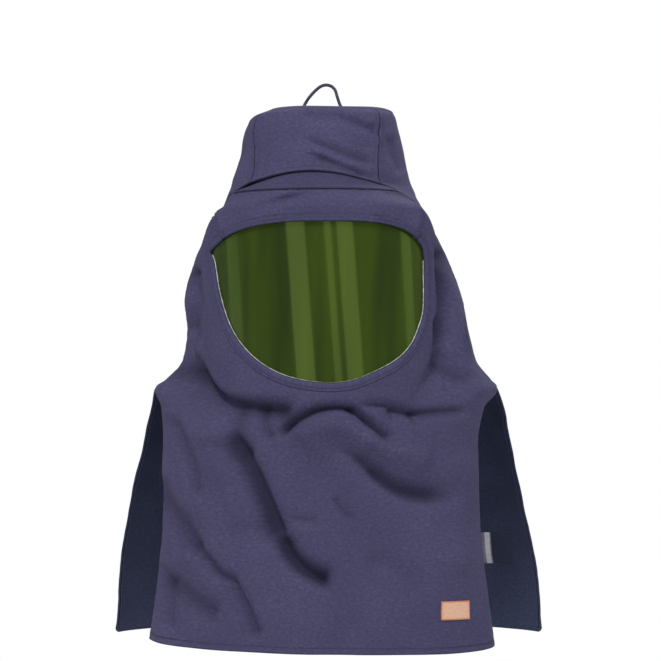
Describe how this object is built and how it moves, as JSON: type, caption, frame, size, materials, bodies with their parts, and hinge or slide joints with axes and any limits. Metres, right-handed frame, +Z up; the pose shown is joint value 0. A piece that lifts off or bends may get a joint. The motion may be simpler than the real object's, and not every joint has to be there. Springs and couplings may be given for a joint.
{
  "type": "arc flash hood",
  "caption": "Cloth protective hood with a boxy pouch for a hard hat, a curved green window, long front and back bibs open at the sides, and a tape loop on top.",
  "frame": {"origin": "the middle of the pouch's inner top, where the hood rests on a hard hat", "axes": "+Z up, +X to the right of a viewer who looks at the window, -Y towards that viewer; millimetres in the source, metres here"},
  "size_m": [0.596, 0.3611, 0.7722],
  "materials": {
    "cloth": "washed navy cotton twill, matte",
    "lining": "dark navy cloth, matte",
    "window": "dark green clear plastic sheet, glossy",
    "trim": "pale edging, satin",
    "tape": "woven tape, matte",
    "leather": "tan leather, satin",
    "label": "grey woven label, satin",
    "flag": "dark woven label, satin"
  },
  "bodies": {
    "root": {"crown_top": "cloth", "crown_front": "cloth", "crown_side_left": "cloth", "crown_side_right": "cloth", "brow_gusset": "cloth", "brow_band": "cloth", "front_panel": "cloth", "back_panel": "cloth", "back_lining": "lining", "visor": "window", "window_trim": "trim", "hanging_loop": "tape", "hem_patch": "leather", "side_tab": "label", "side_flag": "flag"}
  },
  "joints": []
}
